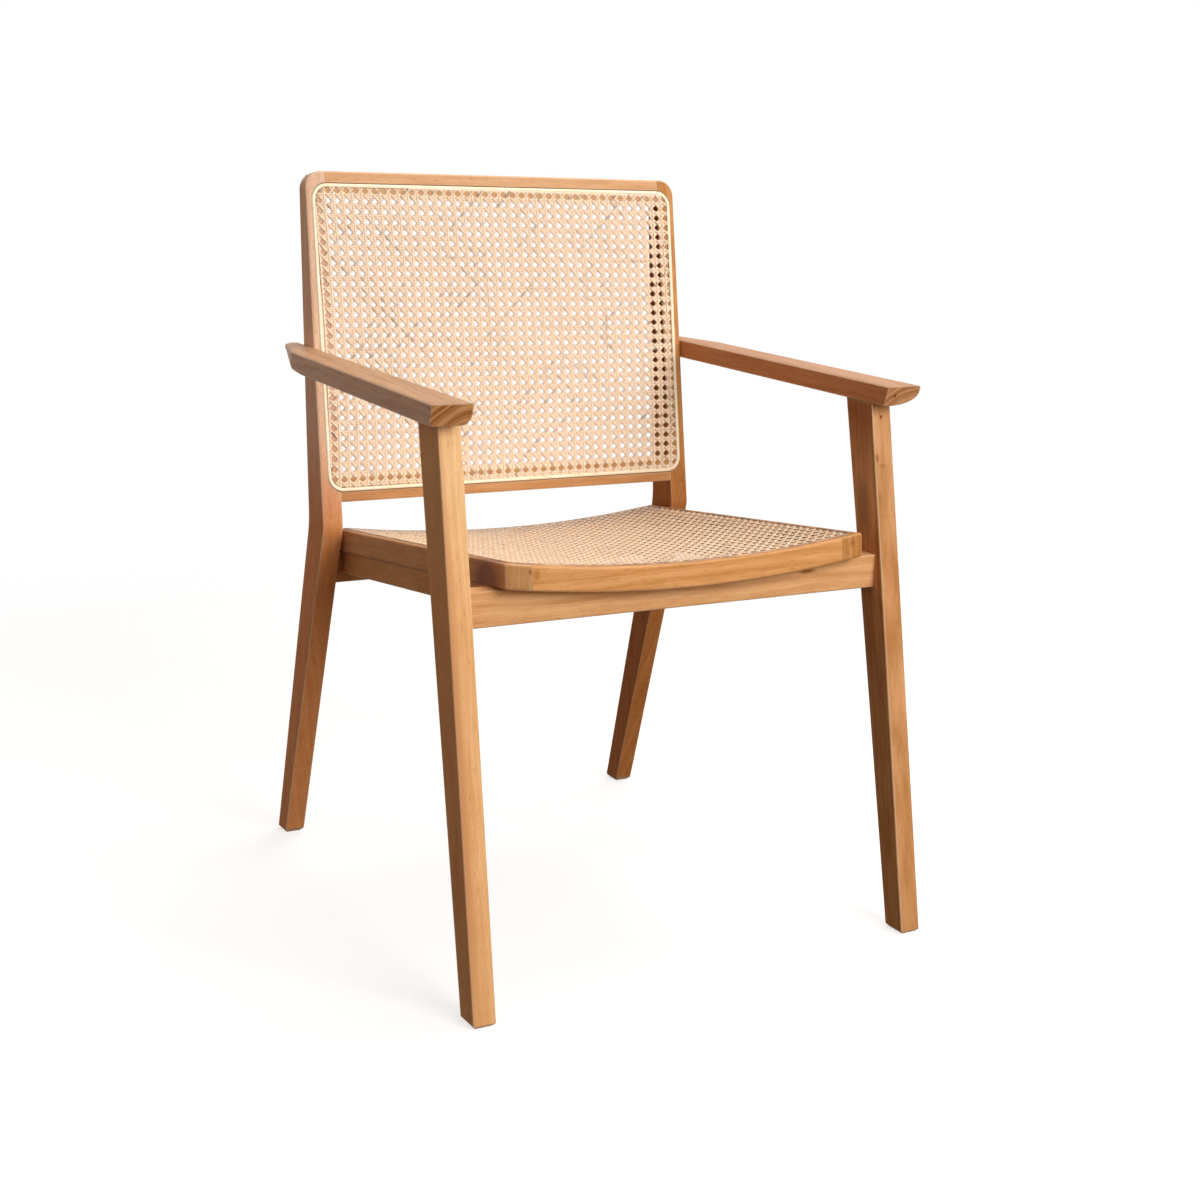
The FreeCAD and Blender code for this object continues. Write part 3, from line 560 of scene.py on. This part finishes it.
# %% [markdown]
# Cane bark is smooth and satin, and it is left raw here. It is pale with a
# slow change of tone along each strand. A split strand is browner along its
# two edges, and that brown is partly painted shade for the gaps between the
# strands; it draws the weave. Here and there an edge is dark with bark for a
# stretch. The tone follows a noise that is stretched along the strands, and
# the edge is found by how far a face leans from its panel.


# %% Cane
strand_cell = 2.6


def cane(name, panel, heading, stained_from, edge, pale, middle, stain):
    """Raw split cane for one set of strands, whose heading is an angle in the plane of their panel."""
    material, tree = new_material(name)
    spot = add(tree, "TexCoord", out="Object")
    to_strand = (Matrix.Rotation(-heading, 3, "Z") @ panel.place.to_3x3().inverted()).to_euler()
    along = add(tree, "Mapping", {"Vector": spot, "Rotation": to_strand})

    # Each strand has its own tone, which changes over about 70 mm.
    tone_cells = add(tree, "Mapping", {"Vector": along, "Scale": cells(70, strand_cell)})
    tone = add(tree, "TexNoise", {"Vector": tone_cells, "Scale": 1.0, "Detail": 2.0})
    tone = add(tree, "MapRange", {"Value": tone, "From Min": 0.35, "From Max": 0.65})
    colour = add(tree, "Mix", {"Factor_Float": tone, "A_Color": linear(pale), "B_Color": linear(middle)},
                 data_type="RGBA")

    # Bark is left for 100 mm or more along some edges, in broken dashes of about 12 mm.
    stain_cells = add(tree, "Mapping", {"Vector": along, "Scale": cells(130, strand_cell),
                                        "Location": (3, 7, 5)})
    stains = add(tree, "TexNoise", {"Vector": stain_cells, "Scale": 1.0, "Detail": 0.0})
    stains = add(tree, "MapRange", {"Value": stains, "From Min": stained_from,
                                    "From Max": stained_from + 0.08})
    dash_cells = add(tree, "Mapping", {"Vector": along, "Scale": cells(12, strand_cell)})
    dashes = add(tree, "TexNoise", {"Vector": dash_cells, "Scale": 1.0, "Detail": 0.0})
    dashes = add(tree, "MapRange", {"Value": dashes, "From Min": 0.4, "From Max": 0.55})
    stains = add(tree, "Math", {"Value": stains, "Value_001": dashes}, operation="MULTIPLY")
    rim_and_shade = add(tree, "Mix", {"Factor_Float": stains, "A_Color": linear(edge), "B_Color": linear(stain)},
              data_type="RGBA")
    faint = add(tree, "Math", {"Value": stains, "Value_001": 0.5}, operation="MULTIPLY")
    colour = add(tree, "Mix", {"Factor_Float": faint, "A_Color": colour, "B_Color": linear(stain)},
                 data_type="RGBA")

    # Faces that lean from the panel take the rim colour: the strand's browner edge and painted shade in the
    # gaps.
    upward = panel.place.to_3x3() @ Vector((0, 0, 1))
    facing = add(tree, "NewGeometry", out="True Normal")
    facing = add(tree, "VectorMath", {"Vector": facing, "Vector_001": upward}, operation="DOT_PRODUCT")
    facing = add(tree, "Math", {"Value": facing}, operation="ABSOLUTE")
    leaning = add(tree, "MapRange", {"Value": facing, "From Min": 0.97, "From Max": 0.92})
    colour = add(tree, "Mix", {"Factor_Float": leaning, "A_Color": colour, "B_Color": rim_and_shade},
                 data_type="RGBA")
    face = add(tree, "BsdfPrincipled", {"Base Color": colour, "Roughness": 0.45, "IOR": 1.5,
                                        "Specular IOR Level": 0.3})
    add(tree, "OutputMaterial", {"Surface": face})
    return material


print("cane recipe ready")

# %% [markdown]
# The diagonals are a little wider than the paired strands, paler on top and
# browner along their edges, partly as painted shade, so they draw the net that
# the eye sees first.
# The back is paler than the seat.

# %% Weave both panels
pair_width, diagonal_width = 2.5, 3.3
pair_stain, diagonal_stain = 0.72, 0.62
tones = {
    "back": dict(pale="#FFF6E6", middle="#FEEAD0", stain="#5E3A1C"),
    "seat": dict(pale="#FFF2DC", middle="#FBE0BE", stain="#5E3A1C"),
}
# The edge tones are the browner split edges and painted shade in the gaps.
edge_tones_and_shade = {"back": ("#EFCDA6", "#C69868"), "seat": ("#E4B98C", "#C08C58")}
for which, panel in (("back", back_panel), ("seat", seat_panel)):
    pair_edge_and_shade, diagonal_edge_and_shade = edge_tones_and_shade[which]
    families = {
        "uprights": (upright_strands(panel), math.pi / 2, pair_width, pair_stain, pair_edge_and_shade),
        "crossings": (cross_strands(panel), 0.0, pair_width, pair_stain, pair_edge_and_shade),
        "rising_diagonals": (diagonal_strands(panel, 1), math.pi / 4,
                             diagonal_width, diagonal_stain, diagonal_edge_and_shade),
        "falling_diagonals": (diagonal_strands(panel, -1), -math.pi / 4,
                              diagonal_width, diagonal_stain, diagonal_edge_and_shade),
    }
    for family, (lines, heading, width, stained_from, edge) in families.items():
        material = cane("raw_split_cane_" + which + "_" + family, panel, heading, stained_from, edge,
                        **tones[which])
        piece = sweep(which + "_cane_" + family, lines, strand_section(width, panel.thick), panel,
                      material)
        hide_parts(which + "_cane")

# %% [markdown]
# ## Spline
# A thin split reed is driven into the groove and wedges the edge of the
# cane. It stands a little proud, with a rounded top. The imported ring has a
# square top, so a rounded loop replaces it. The reed of the back is pale
# cream, and the one of the seat is a darker, blotchy brown.


# %% Spline
def loop_points(half, low, high, corner, height):
    """A rounded rectangle of points in metres, in the plane of a panel."""
    arc_steps, run_steps = 8, 40
    points = []
    for quarter, (sign_x, y) in enumerate(((1, high - corner), (-1, high - corner),
                                           (-1, low + corner), (1, low + corner))):
        x = sign_x * (half - corner)
        for step in range(arc_steps + 1):
            angle = (quarter + step / arc_steps) * math.pi / 2
            points.append((x + corner * math.cos(angle), y + corner * math.sin(angle)))
        if quarter % 2 == 0:
            far_y = points[-1][1]
            points += [(x * (1 - 2 * step / run_steps), far_y) for step in range(1, run_steps)]
    return [Vector((x, y, height(x))) * MM for x, y in points]


def reed(name, pale, deep):
    """Split reed, shaved smooth, in a pale and a deep tone with a slow change between them."""
    material, tree = new_material(name)
    spot = add(tree, "TexCoord", out="Object")
    tone = add(tree, "TexNoise", {"Vector": spot, "Scale": 1 / (25 * MM), "Detail": 3.0})
    tone = add(tree, "MapRange", {"Value": tone, "From Min": 0.35, "From Max": 0.65})
    colour = add(tree, "Mix", {"Factor_Float": tone, "A_Color": linear(pale), "B_Color": linear(deep)},
                 data_type="RGBA")
    face = add(tree, "BsdfPrincipled", {"Base Color": colour, "Roughness": 0.45, "IOR": 1.5})
    add(tree, "OutputMaterial", {"Surface": face})
    return material


reed_outline = [(-2.3, -5.5), (-2.3, 0.2), (-1.8, 0.9), (-0.8, 1.3),
                (0.8, 1.3), (1.8, 0.9), (2.3, 0.2), (2.3, -5.5)]
back_loop = loop_points(half=246.3, low=45.4, high=403.9, corner=17.0, height=flat_back)
seat_loop = loop_points(half=219.5, low=9.0, high=444.85, corner=9.5, height=dished_seat)
splines = {
    "back": (back_loop, back_panel, reed("split_reed_shaved_cream", "#FFF7E0", "#FCE9C6")),
    "seat": (seat_loop, seat_panel, reed("split_reed_shaved_tan", "#C69C78", "#8A6346")),
}
for which, (line, panel, material) in splines.items():
    outline = section("reed_section", reed_outline)
    piece = sweep(which + "_reed_spline", [line], outline, panel, material, closed=True)
    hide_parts(which + "_spline")

# %% [markdown]
# ## Dowels and screws
# These sit inside the joints. They get a plain beech and a zinc finish with
# a faint mottle, so that they look right where the chair is taken apart.


# %% Dowels and screws
def fastener(name, pale, deep, grit, metallic, roughness):
    """A simple finish with a mottle of a size in mm."""
    material, tree = new_material(name)
    spot = add(tree, "TexCoord", out="Object")
    mottle = add(tree, "TexNoise", {"Vector": spot, "Scale": 1 / (grit * MM), "Detail": 3.0})
    mottle = add(tree, "MapRange", {"Value": mottle, "From Min": 0.3, "From Max": 0.7})
    colour = add(tree, "Mix", {"Factor_Float": mottle, "A_Color": linear(pale), "B_Color": linear(deep)},
                 data_type="RGBA")
    face = add(tree, "BsdfPrincipled", {"Base Color": colour, "Metallic": metallic, "Roughness": roughness})
    add(tree, "OutputMaterial", {"Surface": face})
    return material


beech = fastener("beech_turned_dowel", "#E2C49A", "#CDA876", grit=3.0, metallic=0.0, roughness=0.6)
zinc = fastener("steel_zinc_plated", "#C9C6BE", "#AEABA2", grit=2.0, metallic=1.0, roughness=0.35)
for name in nodes:
    if name.endswith("_dowels"):
        finish(name, beech)
    if name.endswith("_screws"):
        finish(name, zinc)
print("beech dowels and zinc screws")

# %% [markdown]
# ## Floor and background
# The photograph has a plain white ground. The floor looks white to the
# camera and in reflections, keeps a faint shadow near the chair, and goes
# over to pure white further off, so that no horizon shows. To the light that
# bounces it is a dim brown, because a white floor would fill the shaded sides.


# %% Floor and background
floor_radius = 4
white_from, white_full = 0.9, 1.9


def seen_rays(tree):
    """1 for rays that show the background: from the camera, reflected or passed through."""
    seen = add(tree, "LightPath", out="Is Camera Ray")
    for ray in ("Is Glossy Ray", "Is Transmission Ray"):
        more = add(tree, "LightPath", out=ray)
        seen = add(tree, "Math", {"Value": seen, "Value_001": more}, operation="MAXIMUM")
    return seen


def studio_floor():
    """A matt painted floor, white with a faint shadow to the eye and dim to bounced light."""
    material, tree = new_material("matt_paint_rolled_white")
    spot = add(tree, "TexCoord", out="Object")
    away = add(tree, "VectorMath", {"Vector": spot}, operation="LENGTH")
    far = add(tree, "MapRange", {"Value": away, "From Min": white_from, "From Max": white_full})
    paint = add(tree, "BsdfDiffuse", {"Color": linear("#AAAAAA")})
    lift = add(tree, "Emission", {"Strength": 0.72})
    near_floor = add(tree, "AddShader", {"Shader": paint, "Shader_001": lift})
    white = add(tree, "Emission", {"Strength": 1.0})
    shown = add(tree, "MixShader", {"Fac": far, "Shader": near_floor, "Shader_001": white})
    dim = add(tree, "BsdfDiffuse", {"Color": linear("#5A4A3C")})
    surface = add(tree, "MixShader", {"Fac": seen_rays(tree), "Shader": dim, "Shader_001": shown})
    add(tree, "OutputMaterial", {"Surface": surface})
    return material


ground = bmesh.new()
bmesh.ops.create_circle(ground, cap_ends=True, segments=64, radius=floor_radius)
floor_mesh = bpy.data.meshes.new("floor")
ground.to_mesh(floor_mesh)
ground.free()
floor_mesh.materials.append(studio_floor())
floor = bpy.data.objects.new("floor", floor_mesh)
bpy.context.scene.collection.objects.link(floor)

world = bpy.data.worlds.new("studio")
world.use_nodes = True
sky = world.node_tree
sky.nodes.clear()
soft = add(sky, "Background", {"Color": linear("#FFE6D4"), "Strength": 0.28})
shown = add(sky, "Background", {"Color": (1, 1, 1, 1), "Strength": 1.0})
mixed = add(sky, "MixShader", {"Fac": seen_rays(sky), "Shader": soft, "Shader_001": shown})
add(sky, "OutputWorld", {"Surface": mixed})
bpy.context.scene.world = world
print("floor and sky")

# %% [markdown]
# ## Lamps
# The front of the chair is light, its left side is deep brown, and no deep
# shadow falls under its arms. So the main lamp stands straight in front and
# not high, a second one hangs overhead for the seat and the arms, and a very
# weak one lifts the left side towards the rear.


# %% Lamps
chair_middle = Vector((0, 0, 0.45))


def lamp(name, spot, size, watts, colour):
    """A square soft lamp that points at the middle of the chair."""
    light = bpy.data.lights.new(name, "AREA")
    light.shape = "SQUARE"
    light.size = size
    light.energy = watts
    light.color = linear(colour)[:3]
    stand = bpy.data.objects.new(name, light)
    stand.location = spot
    stand.rotation_euler = (chair_middle - Vector(spot)).to_track_quat("-Z", "Y").to_euler()
    bpy.context.scene.collection.objects.link(stand)


lamp("front_lamp", spot=(0.8, -3.3, 1.95), size=2.2, watts=123, colour="#FFFDFA")
lamp("top_lamp", spot=(1.2, 0.5, 3.2), size=2.0, watts=56, colour="#FFFDFA")
lamp("left_lamp", spot=(-1.3, 1.0, 1.0), size=0.9, watts=2.2, colour="#FFE6D4")
bpy.context.scene.view_settings.view_transform = "Standard"
print("three lamps and a soft sky")
